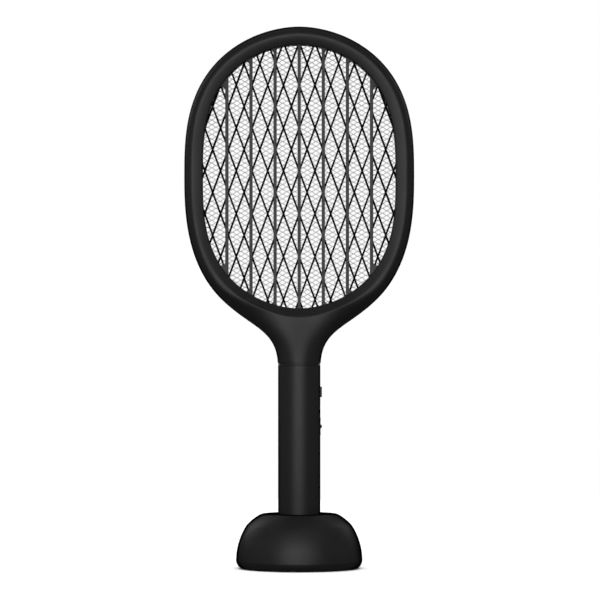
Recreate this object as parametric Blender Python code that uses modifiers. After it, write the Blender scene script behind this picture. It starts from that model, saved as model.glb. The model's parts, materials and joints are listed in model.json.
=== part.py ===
"""Electric fly swatter standing in its charging base, modelled as separate parts.

The origin is on the surface that the base stands on, under the axis of the grip. +Z is up, -Y is
the front. Sizes are written in millimetres, and become Blender's metres where a mesh is made.
"""

import math

import bmesh
import bpy
from mathutils import Matrix, Vector

MM = 0.001
GAP = 0.3  # between pieces that touch
MERGE = 1e-5  # metres, for modifiers that merge
X, Y, Z = Vector((1, 0, 0)), Vector((0, 1, 0)), Vector((0, 0, 1))

# Racket head: two egg-shaped outlines, |x/half_width|^p + |(z - HEAD_MIDDLE)/height|^q = 1,
# with one height and one pair of powers above the middle and another below it.
HEAD_MIDDLE = 353.0
OPENING = {"half_width": 86.8, "up": (117.7, 1.9, 2.95), "down": (119.0, 1.85, 2.95)}
RIM = {"half_width": 103.5, "up": (134.6, 1.88, 2.83), "down": (136.8, 2.23, 2.58)}
FLANK_TOP = 242.0  # below this the rim leaves its egg shape and sweeps in to the neck
FLANK_PULLS = (36.5, 30.5)  # lengths of the sweep's two handles
NECK_FLARE = 1.8  # how far the lower handle leans out
NECK_RADIUS = 19.35
NECK_BOTTOM = 184.9

SHELL_WALL = 1.8
SPLIT = GAP / 2  # each half shell stops this far from the middle plane
LIP_HEIGHT, RIDGE_HEIGHT, RIDGE_OFFSET = 8.0, 13.0, 7.4
LIP_RISE = (2.7, 1.7)  # how much higher the lip stands at the sides, and at the top
RIM_ROUNDING = 8.8  # width over which the rim curves up to the ridge
THROAT_TOP = 232.0  # below this the section deepens into the round neck
BARREL_TOP, BARREL_FULL = 256.0, 200.0  # the curve spreads over the whole throat between these heights

BOSS_RADIUS, BOSS_HEIGHT, BOSS_INSET = 3.0, 9.4, 6.2
BOSS_ANGLES = (math.radians(48), math.radians(-36))
SCREW_HOLE, COUNTERBORE, COUNTERBORE_FLOOR = 1.3, 2.3, 7.5

# What the head holds, as distances from the middle plane and from the edge of the opening
HOOP_INNER, HOOP_OUTER = 0.3, 6.5
RIB_FRAME = (4.4, 6.0)
DIAMOND_NET = (3.5, 4.1)
SPACER = (0.6, 3.2)
CENTRE_MESH = 0.15
RIB_PITCH, RIB_WIDTH, RIBS_EACH_SIDE = 21.7, 2.7, 3
DIAMOND = (7.08, 19.3)  # half a cell, across and up
DIAMOND_CROSSING = 357.7
NET_WIRE = 1.05
SMALLEST_HOLE = 6.0  # mm2, smaller clippings of a cell are left closed
LEAD_RADIUS, LEAD_X, LEAD_Y = 0.6, 6.8, 3.0

# Grip
GRIP_RADIUS, GRIP_WALL = 19.05, 2.0
GRIP_TOP = 183.0
CAP_BOTTOM, CAP_TOP = 16.1, 17.3
CHASSIS_RADIUS, CHASSIS_WALL = 16.3, 2.0
CHASSIS_BOTTOM, CHASSIS_TOP = 23.3, 192.0
CHASSIS_FLOOR = CHASSIS_BOTTOM + 2.5
COLLAR_RADIUS, SEAM_RADIUS = 15.9, 19.0  # the collar in the neck, and the ring that shows in the seam
TROUGH_TOP = 172.0  # the chassis is open on the board's side up to here
SIDE_CUT = (14.0, 22.0)  # from where to where, along X, openings in the grip's side are cut
BUTTON_OPENING, SWITCH_OPENING = (4.0, 5.0), (4.5, 8.4)  # half sizes, across and up
CAP_SCREWS = ((0, -11), (0, 11))
CELL_RADIUS, CELL_BOTTOM, CELL_LENGTH, CELL_AXIS = 9.2, 26.9, 65.0, -4.5
BOARD = {"x": (6.0, 7.6), "half_width": 11.5, "z": (96.0, 174.0)}
BUTTON_HEIGHT = 158.8
SWITCH_HEIGHT = 127.7
LENS_HEIGHT = 145.0
PAD_SPACING = 7.0

# Base
BASE_RADIUS, BASE_CURVE, BASE_CREASE = 56.9, 57.8, 6.9  # widest at the crease, where the side turns under
TURN_INSET, TURN_ANGLE = 4.2, math.radians(25)
BASE_TOP, BASE_WALL = 49.2, 2.2
BASE_FLAT, SHOULDER, SHOULDER_PULLS = 33.0, 38.0, (3.0, 4.5)
BASE_HOLE = 19.8
UNDERSIDE = 0.9
PLATE_TOP = 3.1
CUP_BORE, CUP_WALL, CUP_FLOOR, CUP_TOP = 19.6, 2.0, (13.3, 15.8), 46.7
CHARGER_BOARD = (5.6, 7.2)
FOOT_RADII, FOOT_SPREAD = (42.3, 47.3), math.radians(26)
BASE_SCREW_RADIUS = 38.6

COLOURS = {  # colour, roughness, metallic
    "black_plastic": ((0.032, 0.032, 0.034), 0.55, 0.0),
    "net_black": ((0.008, 0.008, 0.008), 0.45, 0.3),
    "mesh_silver": ((0.62, 0.62, 0.6), 0.35, 1.0),
    "steel": ((0.45, 0.45, 0.44), 0.4, 1.0),
    "contact": ((0.8, 0.6, 0.25), 0.3, 1.0),
    "rubber": ((0.02, 0.02, 0.02), 0.85, 0.0),
    "board_green": ((0.02, 0.12, 0.05), 0.5, 0.0),
    "inner_plastic": ((0.07, 0.07, 0.075), 0.6, 0.0),
    "cell_wrap": ((0.05, 0.18, 0.32), 0.4, 0.0),
    "lens_clear": ((0.75, 0.78, 0.8), 0.15, 0.0),
}

# The point that each body's parts are hung from, on its joint's axis
BODY_POINTS = {
    "base": Vector((0, 0, 0)),
    "racket": Vector((0, 0, CAP_BOTTOM)),
    "power_button": Vector((GRIP_RADIUS, 0, BUTTON_HEIGHT)),
    "mode_knob": Vector((GRIP_RADIUS, 0, SWITCH_HEIGHT)),
    "left_charge_pin": Vector((-PAD_SPACING, 0, 10)),
    "right_charge_pin": Vector((PAD_SPACING, 0, 10)),
}


# --- Scene, objects and modifiers -----------------------------------------------------------------


def clear_scene():
    for obj in list(bpy.data.objects):
        bpy.data.objects.remove(obj)


def new_collection(name):
    collection = bpy.data.collections.new(name)
    bpy.context.scene.collection.children.link(collection)
    return collection


clear_scene()
PARTS = new_collection("electric_fly_swatter")
CUTTERS = new_collection("cutters")
EMPTIES = {}


def body_empty(body):
    if body not in EMPTIES:
        empty = bpy.data.objects.new(f"{body}_body", None)
        empty.location = BODY_POINTS[body] * MM
        empty.empty_display_size = 10 * MM
        PARTS.objects.link(empty)
        EMPTIES[body] = empty
    return EMPTIES[body]


def paint(obj, look):
    colour, roughness, metallic = COLOURS[look]
    material = bpy.data.materials.new(f"{obj.name}_{look}")
    material.use_nodes = True
    shader = material.node_tree.nodes["Principled BSDF"]
    shader.inputs["Base Color"].default_value = (*colour, 1)
    shader.inputs["Roughness"].default_value = roughness
    shader.inputs["Metallic"].default_value = metallic
    obj.data.materials.append(material)


def part(name, data, look, body):
    """A node, drawn in the object's own millimetres, with its origin at its body's point."""
    point = BODY_POINTS[body]
    data.name = name
    data.transform(Matrix.Scale(MM, 4) @ Matrix.Translation(-point))
    obj = bpy.data.objects.new(name, data)
    PARTS.objects.link(obj)
    obj.parent = body_empty(body)
    paint(obj, look)
    data.shade_smooth()
    data.set_sharp_from_angle(angle=math.radians(35))
    return obj


def cutter(name, data):
    data.name = name
    data.transform(Matrix.Scale(MM, 4))
    obj = bpy.data.objects.new(name, data)
    obj.hide_render = True
    obj.display_type = "WIRE"
    CUTTERS.objects.link(obj)
    return obj


def boolean(obj, data, operation="DIFFERENCE"):
    modifier = obj.modifiers.new(operation.lower(), "BOOLEAN")
    modifier.operation = operation
    modifier.object = cutter(f"{obj.name}_{operation.lower()}_{len(obj.modifiers)}", data)


def bevel(obj, width, segments=2):
    modifier = obj.modifiers.new("bevel", "BEVEL")
    modifier.width = width * MM
    modifier.segments = segments
    modifier.limit_method = "ANGLE"
    modifier.angle_limit = math.radians(40)


# --- Mesh makers ----------------------------------------------------------------------------------


def mesh_from(bm):
    mesh = bpy.data.meshes.new("mesh")
    bm.to_mesh(mesh)
    bm.free()
    return mesh


def boxes(*corners):
    """Boxes, each from its lowest corner to its highest."""
    bm = bmesh.new()
    for low, high in corners:
        low, high = Vector(low), Vector(high)
        made = bmesh.ops.create_cube(bm, size=1)["verts"]
        bmesh.ops.scale(bm, vec=high - low, verts=made)
        bmesh.ops.translate(bm, vec=(low + high) / 2, verts=made)
    return mesh_from(bm)


def rods(*ends, segments=16):
    """Cylinders, each from one point to another with a radius."""
    bm = bmesh.new()
    for start, end, radius in ends:
        start, end = Vector(start), Vector(end)
        turn = (end - start).to_track_quat("Z", "Y").to_matrix().to_4x4()
        bmesh.ops.create_cone(
            bm, cap_ends=True, segments=segments, radius1=radius, radius2=radius,
            depth=(end - start).length, matrix=Matrix.Translation((start + end) / 2) @ turn,
        )
    return mesh_from(bm)


def profile_mesh(points, closed):
    mesh = bpy.data.meshes.new("profile")
    edges = [(i, i + 1) for i in range(len(points) - 1)]
    if closed:
        edges.append((len(points) - 1, 0))
    mesh.from_pydata([(r, 0, z) for r, z in points], edges, [])
    return mesh


def evaluated_mesh(obj):
    """The mesh that an object's modifiers or curve settings make, welded; the object is removed."""
    bpy.context.scene.collection.objects.link(obj)
    bpy.context.view_layer.update()
    graph = bpy.context.evaluated_depsgraph_get()
    mesh = bpy.data.meshes.new_from_object(obj.evaluated_get(graph))
    mesh.transform(obj.matrix_world)
    bpy.data.objects.remove(obj)
    bm = bmesh.new()
    bm.from_mesh(mesh)
    bmesh.ops.remove_doubles(bm, verts=bm.verts, dist=1e-4)
    bm.to_mesh(mesh)
    bm.free()
    return mesh


def turned(points, segments=32, centre=(0, 0)):
    """A profile of (radius, height) points spun about a vertical axis: its outer side first, downwards.

    A profile that starts on the axis is open and makes a solid disc; any other is a closed ring.
    """
    obj = bpy.data.objects.new("turned", profile_mesh(points, closed=points[0][0] > 0))
    screw = obj.modifiers.new("screw", "SCREW")
    screw.steps = screw.render_steps = segments
    screw.use_merge_vertices = True
    screw.merge_threshold = MERGE
    mesh = evaluated_mesh(obj)
    mesh.transform(Matrix.Translation((*centre, 0)))
    return mesh


def ring_profile(inner, outer, bottom, top):
    return [(outer, top), (outer, bottom), (inner, bottom), (inner, top)]


def plate(loops, low, high, normal=Z):
    """Flat loops, the first with the others as holes, given a thickness along Z or along Y."""
    curve = bpy.data.curves.new("plate", "CURVE")
    curve.dimensions = "2D"
    curve.fill_mode = "BOTH"
    curve.extrude = (high - low) / 2
    for loop in loops:
        spline = curve.splines.new("POLY")
        spline.points.add(len(loop) - 1)
        for point, (u, v) in zip(spline.points, loop):
            point.co = (u, v, 0, 1)
        spline.use_cyclic_u = True
    obj = bpy.data.objects.new("plate", curve)
    if normal is Y:
        obj.rotation_euler.x = math.pi / 2
    obj.location = normal * (low + high) / 2
    return evaluated_mesh(obj)


def tube(points, radius, sides=2):
    """A wire through the points; sides is Blender's bevel resolution."""
    curve = bpy.data.curves.new("tube", "CURVE")
    curve.dimensions = "3D"
    curve.bevel_depth = radius
    curve.bevel_resolution = sides
    curve.use_fill_caps = True
    spline = curve.splines.new("POLY")
    spline.points.add(len(points) - 1)
    for point, place in zip(spline.points, points):
        point.co = (*place, 1)
    return evaluated_mesh(bpy.data.objects.new("tube", curve))


def arc(centre, radius, start, end, steps):
    """Points on an arc, or on a quarter of an ellipse where radius is a pair."""
    across, up = radius if isinstance(radius, tuple) else (radius, radius)
    angles = [start + (end - start) * i / steps for i in range(steps + 1)]
    return [(centre[0] + across * math.cos(a), centre[1] + up * math.sin(a)) for a in angles]


def bezier(points, steps):
    a, b, c, d = (Vector(p) for p in points)
    return [
        (1 - t) ** 3 * a + 3 * (1 - t) ** 2 * t * b + 3 * (1 - t) * t * t * c + t**3 * d
        for t in (i / steps for i in range(steps + 1))
    ]


# --- Outlines of the head, as (x, z) --------------------------------------------------------------


def egg_point(egg, angle, offset=0.0):
    """A point of an egg outline, and how far outside it; angle runs from 0 at +X up to pi/2 at the top."""
    height, p, q = egg["up"] if math.sin(angle) >= 0 else egg["down"]
    cosine, sine = abs(math.cos(angle)), abs(math.sin(angle))
    across, up = cosine ** (2 / p), sine ** (2 / q)
    point = Vector((egg["half_width"] * across, height * up))
    normal = Vector((p / egg["half_width"] * across ** (p - 1), q / height * up ** (q - 1)))
    point += offset * normal.normalized()
    return Vector((
        math.copysign(point.x, math.cos(angle)),
        HEAD_MIDDLE + math.copysign(point.y, math.sin(angle)),
    ))


def opening_loop(offset, steps=36):
    return [egg_point(OPENING, 2 * math.pi * i / steps + 1e-9, offset) for i in range(steps)]


def rim_angle(z):
    """The angle at which the rim's lower half reaches a height."""
    height, _, q = RIM["down"]
    return -math.asin(((HEAD_MIDDLE - z) / height) ** (q / 2))


FLANK_ANGLE = rim_angle(FLANK_TOP)
NECK_CORNER = Vector((NECK_RADIUS, NECK_BOTTOM))


def flank(steps):
    """The rim's sweep from its egg shape to the top of the grip."""
    start = egg_point(RIM, FLANK_ANGLE)
    run = (egg_point(RIM, FLANK_ANGLE - 0.001) - start).normalized()
    down, up = FLANK_PULLS
    return bezier((start, start + down * run, NECK_CORNER + Vector((NECK_FLARE, up)), NECK_CORNER), steps)


def corner_angle():
    """The angle at which the opening is as wide as the neck."""
    _, p, _ = OPENING["down"]
    return -math.acos((NECK_RADIUS / OPENING["half_width"]) ** (p / 2))


def head_stations(round_steps, side_steps, flank_steps, neck_steps):
    """Pairs of points that a line across the shell joins: on the opening, and on the rim.

    The lines run from the top round one side, fan out over the flank, and end along the neck.
    """
    stations = []

    def add(start, end, steps, outer):
        first = 1 if stations else 0
        for i in range(first, steps + 1):
            angle = start + (end - start) * i / steps
            stations.append((angle, outer(angle, i)))

    sweep = flank(flank_steps)
    add(math.pi / 2, 0, round_steps, lambda angle, _: egg_point(RIM, angle))
    add(0, FLANK_ANGLE, side_steps, lambda angle, _: egg_point(RIM, angle))
    add(FLANK_ANGLE, corner_angle(), flank_steps, lambda _, i: sweep[i])
    add(corner_angle(), -math.pi / 2, neck_steps,
        lambda _, i: Vector((NECK_RADIUS * math.cos(math.pi / 2 * i / neck_steps), NECK_BOTTOM)))
    return stations


def rim_line():
    upper = [egg_point(RIM, math.pi / 2 + (FLANK_ANGLE - math.pi / 2) * i / 90) for i in range(91)]
    return upper + flank(40)[1:]


RIM_LINE = rim_line()


def distance_to(point, line):
    best = math.inf
    for a, b in zip(line, line[1:]):
        run = b - a
        along = max(0.0, min(1.0, (point - a).dot(run) / run.length_squared))
        best = min(best, (point - a - along * run).length)
    return best


def ease(share):
    share = max(0.0, min(1.0, share))
    return share * share * (3 - 2 * share)


def shell_height(point):
    """How far the head shell's outside stands from the middle plane."""
    sink = ease((THROAT_TOP - point.y) / (THROAT_TOP - NECK_BOTTOM))
    depth = RIDGE_HEIGHT + (NECK_RADIUS - RIDGE_HEIGHT) * sink
    barrel = ease((BARREL_TOP - point.y) / (BARREL_TOP - BARREL_FULL))
    half_throat = distance_to(Vector((0, min(point.y, THROAT_TOP))), RIM_LINE)
    rounding = RIM_ROUNDING + (half_throat - RIM_ROUNDING) * barrel
    share = min(1.0, distance_to(point, RIM_LINE) / rounding)
    return depth * math.sqrt(1 - (1 - share) ** 2)


def lip_height(angle):
    """How far the opening's edge stands from the middle plane: least at the throat."""
    at_sides, at_top = LIP_RISE
    return LIP_HEIGHT + at_sides * math.cos(angle) ** 2 + at_top * max(0.0, math.sin(angle)) ** 2


# --- Racket head ----------------------------------------------------------------------------------

SKIRT = 3.0  # the skin runs this far past the middle plane before it is cut
ACROSS = [math.pi / 2 * i / 4 for i in range(4, -1, -1)]  # from the ridge to the rim, as angles


def half_skin(side):
    """The outside of one half shell for x >= 0, as rows of vertices from the opening to the rim."""
    bm = bmesh.new()
    rows, skirts = [], []
    for angle, outer in head_stations(11, 6, 7, 4):
        inner = egg_point(OPENING, angle)
        ridge = egg_point(OPENING, angle, RIDGE_OFFSET)
        line = [(inner, lip_height(angle))]
        for turn in ACROSS:
            place = outer.lerp(ridge, 1 - math.cos(turn))
            line.append((place, RIDGE_HEIGHT if turn == ACROSS[0] else shell_height(place)))
        if angle in (math.pi / 2, -math.pi / 2):
            for place, _ in line:
                place.x = 0
        rows.append([bm.verts.new((p.x, side * h, p.y)) for p, h in line])
        skirts.append(bm.verts.new((outer.x, -side * SKIRT, outer.y)) if angle >= corner_angle() else None)
    for i in range(len(rows) - 1):
        upper, lower = rows[i], rows[i + 1]
        if skirts[i + 1]:
            upper, lower = upper + [skirts[i]], lower + [skirts[i + 1]]
        for k in range(len(upper) - 1):
            corners = (upper[k], upper[k + 1], lower[k + 1], lower[k])
            bm.faces.new(corners if side > 0 else corners[::-1])
    for vert in [v for v in bm.verts if not v.link_faces]:
        bm.verts.remove(vert)
    return mesh_from(bm)


def head_screw_places():
    """The middles of the four screw bosses, as (x, z)."""
    for angle in BOSS_ANGLES:
        edge = egg_point(RIM, angle)
        outward = (edge - egg_point(RIM, angle, -1.0)).normalized()
        place = edge - BOSS_INSET * outward
        for mirror in (-1, 1):
            yield mirror * place.x, place.y


def head_rods(start, end, radius, segments):
    """A rod along Y at each screw boss."""
    return rods(*[((x, start, z), (x, end, z), radius) for x, z in head_screw_places()], segments=segments)


def head_shell(name, side):
    shell = part(name, half_skin(side), "black_plastic", "racket")
    mirror = shell.modifiers.new("mirror", "MIRROR")
    mirror.merge_threshold = MERGE
    solidify = shell.modifiers.new("solidify", "SOLIDIFY")
    solidify.thickness = SHELL_WALL * MM
    solidify.offset = -1
    boolean(shell, head_rods(-side, side * BOSS_HEIGHT, BOSS_RADIUS, 12), "UNION")
    low, high = sorted((side * SPLIT, -side * 40))
    boolean(shell, boxes(((-150, low, 150), (150, high, 520))))
    if side < 0:
        boolean(shell, head_rods(1, 0.5 - COUNTERBORE_FLOOR, SCREW_HOLE, 10))
    else:
        boolean(shell, head_rods(-1, 16, SCREW_HOLE, 10))
        boolean(shell, head_rods(COUNTERBORE_FLOOR, 16, COUNTERBORE, 12))
    return shell


def clipped(polygon, outline):
    """The part of a convex polygon inside a convex outline that runs anticlockwise."""
    for a, b in zip(outline, outline[1:] + outline[:1]):
        kept = []
        for p, q in zip(polygon, polygon[1:] + polygon[:1]):
            side_p, side_q = ((b - a).cross(r - a) for r in (p, q))
            if side_p >= 0:
                kept.append(p)
            if side_p * side_q < 0:
                kept.append(p.lerp(q, side_p / (side_p - side_q)))
        polygon = kept
        if not polygon:
            break
    return polygon


def area(polygon):
    return abs(sum(a.cross(b) for a, b in zip(polygon, polygon[1:] + polygon[:1]))) / 2


def rib_gaps():
    """The spaces between the upright ribs, each clipped to the opening."""
    outline = opening_loop(HOOP_INNER)
    edges = [k * RIB_PITCH for k in range(-RIBS_EACH_SIDE - 1, RIBS_EACH_SIDE + 2)]
    edges[0], edges[-1] = -OPENING["half_width"] - 5, OPENING["half_width"] + 5
    for left, right in zip(edges, edges[1:]):
        left, right = left + RIB_WIDTH / 2, right - RIB_WIDTH / 2
        tall = [Vector(p) for p in ((left, 200), (right, 200), (right, 500), (left, 500))]
        yield clipped(tall, outline)


def diamond_holes():
    outline = opening_loop(HOOP_INNER)
    across, up = DIAMOND
    slope = math.hypot(across, up)
    half = (across - NET_WIRE / 2 * slope / up, up - NET_WIRE / 2 * slope / across)
    for i in range(-14, 15):
        for j in range(-8, 9):
            if (i + j) % 2 == 0:
                continue
            centre = Vector((i * across, DIAMOND_CROSSING + j * up))
            corners = [centre + Vector(c) for c in ((0, -half[1]), (half[0], 0), (0, half[1]), (-half[0], 0))]
            hole = clipped(corners, outline)
            if len(hole) > 2 and area(hole) > SMALLEST_HOLE:
                yield hole


def head():
    head_shell("head_front_shell", -1)
    head_shell("head_rear_shell", 1)
    hoop = opening_loop(HOOP_OUTER)
    gaps, holes = list(rib_gaps()), list(diamond_holes())
    for name, side in (("front", -1), ("rear", 1)):
        for piece, (near, far), loops, look in (
            ("rib_frame", RIB_FRAME, [hoop, *gaps], "black_plastic"),
            ("diamond_net", DIAMOND_NET, [hoop, *holes], "net_black"),
            ("spacer_ring", SPACER, [hoop, opening_loop(0.8)], "inner_plastic"),
        ):
            low, high = sorted((side * near, side * far))
            part(f"{name}_{piece}", plate(loops, low, high, Y), look, "racket")
    part("centre_mesh", plate([hoop], -CENTRE_MESH, CENTRE_MESH, Y), "mesh_silver", "racket")
    head_low, head_high = COUNTERBORE_FLOOR + GAP, COUNTERBORE_FLOOR + 2.1
    for i, (x, z) in enumerate(head_screw_places(), 1):
        cap = rods(((x, head_low, z), (x, head_high, z), COUNTERBORE - GAP), segments=12)
        screw = part(f"head_screw_{i}", cap, "steel", "racket")
        boolean(screw, rods(((x, -6.5, z), (x, head_low + 0.7, z), SCREW_HOLE - GAP), segments=8), "UNION")
    leads()


def leads():
    """The three wires from the board to the meshes: up through the collar, then in to the middle."""
    hoop_foot = egg_point(OPENING, -math.pi / 2, HOOP_OUTER).y - 0.4
    net = sum(DIAMOND_NET) / 2
    board_top, collar_foot, bend = BOARD["z"][1] + 0.4, 182, 14
    for name, start, end in (("front_net", -LEAD_Y, -net), ("centre_mesh", 0, 0), ("rear_net", LEAD_Y, net)):
        low, high = Vector((LEAD_X, start, collar_foot)), Vector((0, end, hoop_foot - bend))
        route = bezier((low, low + bend * Z, high - 1.3 * bend * Z, high), 8)
        points = [Vector((LEAD_X, start, board_top)), *route, Vector((0, end, hoop_foot))]
        part(f"{name}_lead", tube(points, LEAD_RADIUS, 1), "net_black", "racket")


# --- Grip -----------------------------------------------------------------------------------------


def side_opening(height, half_sizes):
    (near, far), (across, up) = SIDE_CUT, half_sizes
    return (near, -across, height - up), (far, across, height + up)


def grip_shell():
    inner = GRIP_RADIUS - GRIP_WALL
    sleeve = part("handle_sleeve", turned(ring_profile(inner, GRIP_RADIUS, CAP_TOP + GAP, GRIP_TOP), 48),
                  "black_plastic", "racket")
    boolean(sleeve, boxes(side_opening(BUTTON_HEIGHT, BUTTON_OPENING),
                          side_opening(SWITCH_HEIGHT, SWITCH_OPENING)))
    near, far = SIDE_CUT
    boolean(sleeve, rods(((near, 0, LENS_HEIGHT), (far, 0, LENS_HEIGHT), 1.9), segments=16))

    plug_outer, plug_inner, plug_top, floor_top = 16.5, 14.5, 23.0, 19.0
    cap = part("handle_end_cap", turned([
        (0, floor_top), (plug_inner, floor_top), (plug_inner, plug_top), (plug_outer, plug_top),
        (plug_outer, CAP_TOP), (GRIP_RADIUS, CAP_TOP), (GRIP_RADIUS, CAP_BOTTOM), (0, CAP_BOTTOM),
    ], 32), "black_plastic", "racket")
    recess = CAP_BOTTOM + 1.8
    pads = [(-PAD_SPACING, 0), (PAD_SPACING, 0)]
    boolean(cap, rods(*[((x, y, 10), (x, y, recess), 3.3) for x, y in pads]))
    boolean(cap, rods(*[((x, y, 10), (x, y, recess), 2.5) for x, y in CAP_SCREWS], segments=12))
    boolean(cap, rods(*[((x, y, 10), (x, y, 30), SCREW_HOLE) for x, y in CAP_SCREWS], segments=10))
    for name, (x, y) in zip(("left", "right"), pads):
        pad = rods(((x, y, recess - 1.3), (x, y, recess - GAP), 3.0), segments=20)
        part(f"{name}_charge_pad", pad, "contact", "racket")
    for i, (x, y) in enumerate(CAP_SCREWS, 1):
        cap_screw = rods(((x, y, recess - 1.5), (x, y, recess - GAP), 2.2), segments=12)
        screw = part(f"end_cap_screw_{i}", cap_screw, "steel", "racket")
        boolean(screw, rods(((x, y, 17), (x, y, 25.4), SCREW_HOLE - GAP), segments=8), "UNION")


def chassis():
    """The trough that carries cell and board, with a floor, and the collar that joins grip to head."""
    inner = CHASSIS_RADIUS - CHASSIS_WALL
    frame = part("inner_chassis", turned([
        (0, CHASSIS_FLOOR), (inner, CHASSIS_FLOOR), (inner, CHASSIS_TOP), (COLLAR_RADIUS, CHASSIS_TOP),
        (COLLAR_RADIUS, NECK_BOTTOM - GAP), (SEAM_RADIUS, NECK_BOTTOM - GAP), (SEAM_RADIUS, GRIP_TOP + GAP),
        (COLLAR_RADIUS, GRIP_TOP + GAP), (CHASSIS_RADIUS, CHASSIS_BOTTOM), (0, CHASSIS_BOTTOM),
    ], 48), "inner_plastic", "racket")
    boolean(frame, boxes(((2, -20, CHASSIS_FLOOR), (20, 20, TROUGH_TOP))))
    cell_stop, board_shelf = CELL_BOTTOM + CELL_LENGTH + 1.2, TROUGH_TOP - 4
    shelves = [((-14.6, -7, z), (5.7, 7, z + 2)) for z in (cell_stop, board_shelf)]
    boolean(frame, boxes(*shelves), "UNION")
    holes = [((x, y, 20), (x, y, CHASSIS_FLOOR + 1), SCREW_HOLE) for x, y in CAP_SCREWS]
    boolean(frame, rods(*holes, segments=10))


def electronics():
    axis = (CELL_AXIS, 0)
    cell_top = CELL_BOTTOM + CELL_LENGTH
    part("battery_cell", turned([
        (0, cell_top), (3.2, cell_top), (3.2, cell_top - 0.8), (CELL_RADIUS, cell_top - 0.8),
        (CELL_RADIUS, CELL_BOTTOM), (0, CELL_BOTTOM),
    ], 24, axis), "cell_wrap", "racket")
    for name, z in (("negative", CELL_BOTTOM - 0.8), ("positive", cell_top + GAP)):
        part(f"battery_tab_{name}", rods(((*axis, z), (*axis, z + 0.5), 6), segments=16), "contact", "racket")
    (back, front), (bottom, top), half = BOARD["x"], BOARD["z"], BOARD["half_width"]
    seat = front + GAP
    part("main_board", boxes(((back, -half, bottom), (front, half, top))), "board_green", "racket")
    coil = boxes(((-6, -7.5, 147), (back - GAP, 7.5, 163)))
    bevel(part("step_up_transformer", coil, "inner_plastic", "racket"), 1)
    part("storage_capacitor", rods(((1, 0, 120), (1, 0, 140), 4.5), segments=20), "cell_wrap", "racket")

    z = BUTTON_HEIGHT
    body = part("push_switch_body", boxes(((seat, -3, z - 3), (11.7, 3, z + 3))), "inner_plastic", "racket")
    boolean(body, rods(((9.5, 0, z), (14, 0, z), 1.8)))
    z = SWITCH_HEIGHT
    body = part("slide_switch_body", boxes(((seat, -3.5, z - 6.5), (11.9, 3.5, z + 6.5))), "steel", "racket")
    boolean(body, boxes(((9.9, -1.3, z - 4.6), (14, 1.3, z + 4.6))))
    z = LENS_HEIGHT
    part("indicator_led", rods(((seat, 0, z), (12.5, 0, z), 1.5), segments=12), "lens_clear", "racket")
    part("indicator_lens", rods(((12.9, 0, z), (GRIP_RADIUS - 0.05, 0, z), 1.6)), "lens_clear", "racket")


def power_button():
    """The push button on the grip's edge, the plunger it works, and the spring that returns it."""
    face, flange, seat, z = 20.4, 15.5, 14.6, BUTTON_HEIGHT
    cap = boxes(((seat + 0.4, -3.7, z - 4.7), (face, 3.7, z + 4.7)))
    button = part("power_button", cap, "black_plastic", "power_button")
    bevel(button, 0.5)
    boolean(button, boxes(((seat, -5, z - 5.9), (flange, 5, z + 5.9))), "UNION")
    plunger = rods(((10.9, 0, z), (seat - GAP, 0, z), 1.5), segments=12)
    part("push_switch_plunger", plunger, "inner_plastic", "power_button")
    spring = tube(coil_points(2.6, 12.3, 14.1, 3, X, (0, 0, z)), 0.22, 0)
    part("power_button_spring", spring, "steel", "racket")


def coil_points(radius, start, end, turns, axis, centre):
    """A helix along X or Z, eight points a turn."""
    steps = turns * 8
    points = []
    for i in range(steps + 1):
        angle = 2 * math.pi * i / 8
        along = start + (end - start) * i / steps
        if axis is X:
            place = Vector((along, radius * math.cos(angle), radius * math.sin(angle)))
        else:
            place = Vector((radius * math.cos(angle), radius * math.sin(angle), along))
        points.append(place + Vector(centre))
    return points


def mode_switch():
    """The bezel set in the grip, the knob that slides in it, and the lever that the knob drives."""
    outer, inner, half_width, half_height, travel = GRIP_RADIUS + 0.25, 17.0, 4.2, 8.1, 3.0
    z = SWITCH_HEIGHT
    ring = turned(ring_profile(inner, outer, z - half_height, z + half_height), 96)
    bezel = part("mode_knob_bezel", ring, "black_plastic", "racket")
    boolean(bezel, boxes(((10, -half_width, z - 20), (25, half_width, z + 20))), "INTERSECT")
    stem, nub, nub_flat, half_depth = 1.8, 20.5, 0.5, 1.3
    slot = stem + travel + GAP
    boolean(bezel, boxes(((10, -half_depth - GAP, z - slot), (25, half_depth + GAP, z + slot))))

    crest = outer + 0.2
    outline = [(14.5, -stem), (crest, -stem), (nub, -nub_flat), (nub, nub_flat), (crest, stem), (14.5, stem)]
    wedge = plate([[(x, z + up) for x, up in outline]], -half_depth, half_depth, Y)
    knob = part("mode_knob", wedge, "black_plastic", "mode_knob")
    boolean(knob, boxes(((13.2, -3.2, z - 3.5), (16.2, 3.2, z + 3.5))), "UNION")
    boolean(knob, boxes(((12, -1.3, z - 1.5), (14.5, 1.3, z + 1.5))))
    lever = boxes(((10.2, -1, z - 1.2), (14.2, 1, z + 1.2)))
    part("slide_switch_lever", lever, "inner_plastic", "mode_knob")


# --- Base -----------------------------------------------------------------------------------------


def dome(inset):
    """Half of the base's section from the shoulder's inner end down to the crease, inset by a wall."""
    across, up, top = BASE_RADIUS - inset, BASE_CURVE - inset, BASE_TOP - inset
    shoulder = SHOULDER - inset

    def radius(z):
        return across * math.sqrt(1 - ((z - BASE_CREASE) / up) ** 2)

    start = Vector((radius(shoulder), shoulder))
    run = (Vector((radius(shoulder + 0.01), shoulder + 0.01)) - start).normalized()
    end = Vector((BASE_FLAT, top))
    across_pull, up_pull = SHOULDER_PULLS
    curve = bezier((end, end + Vector((across_pull, 0)), start + run * up_pull, start), 4)
    low = math.asin((shoulder - BASE_CREASE) / up)
    return [(p.x, p.y) for p in curve] + arc((0, BASE_CREASE), (across, up), low, 0, 5)[1:]


def diagonals(radius):
    angles = [math.pi / 4 + math.pi / 2 * i for i in range(4)]
    return [(radius * math.cos(a), radius * math.sin(a)) for a in angles]


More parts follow.
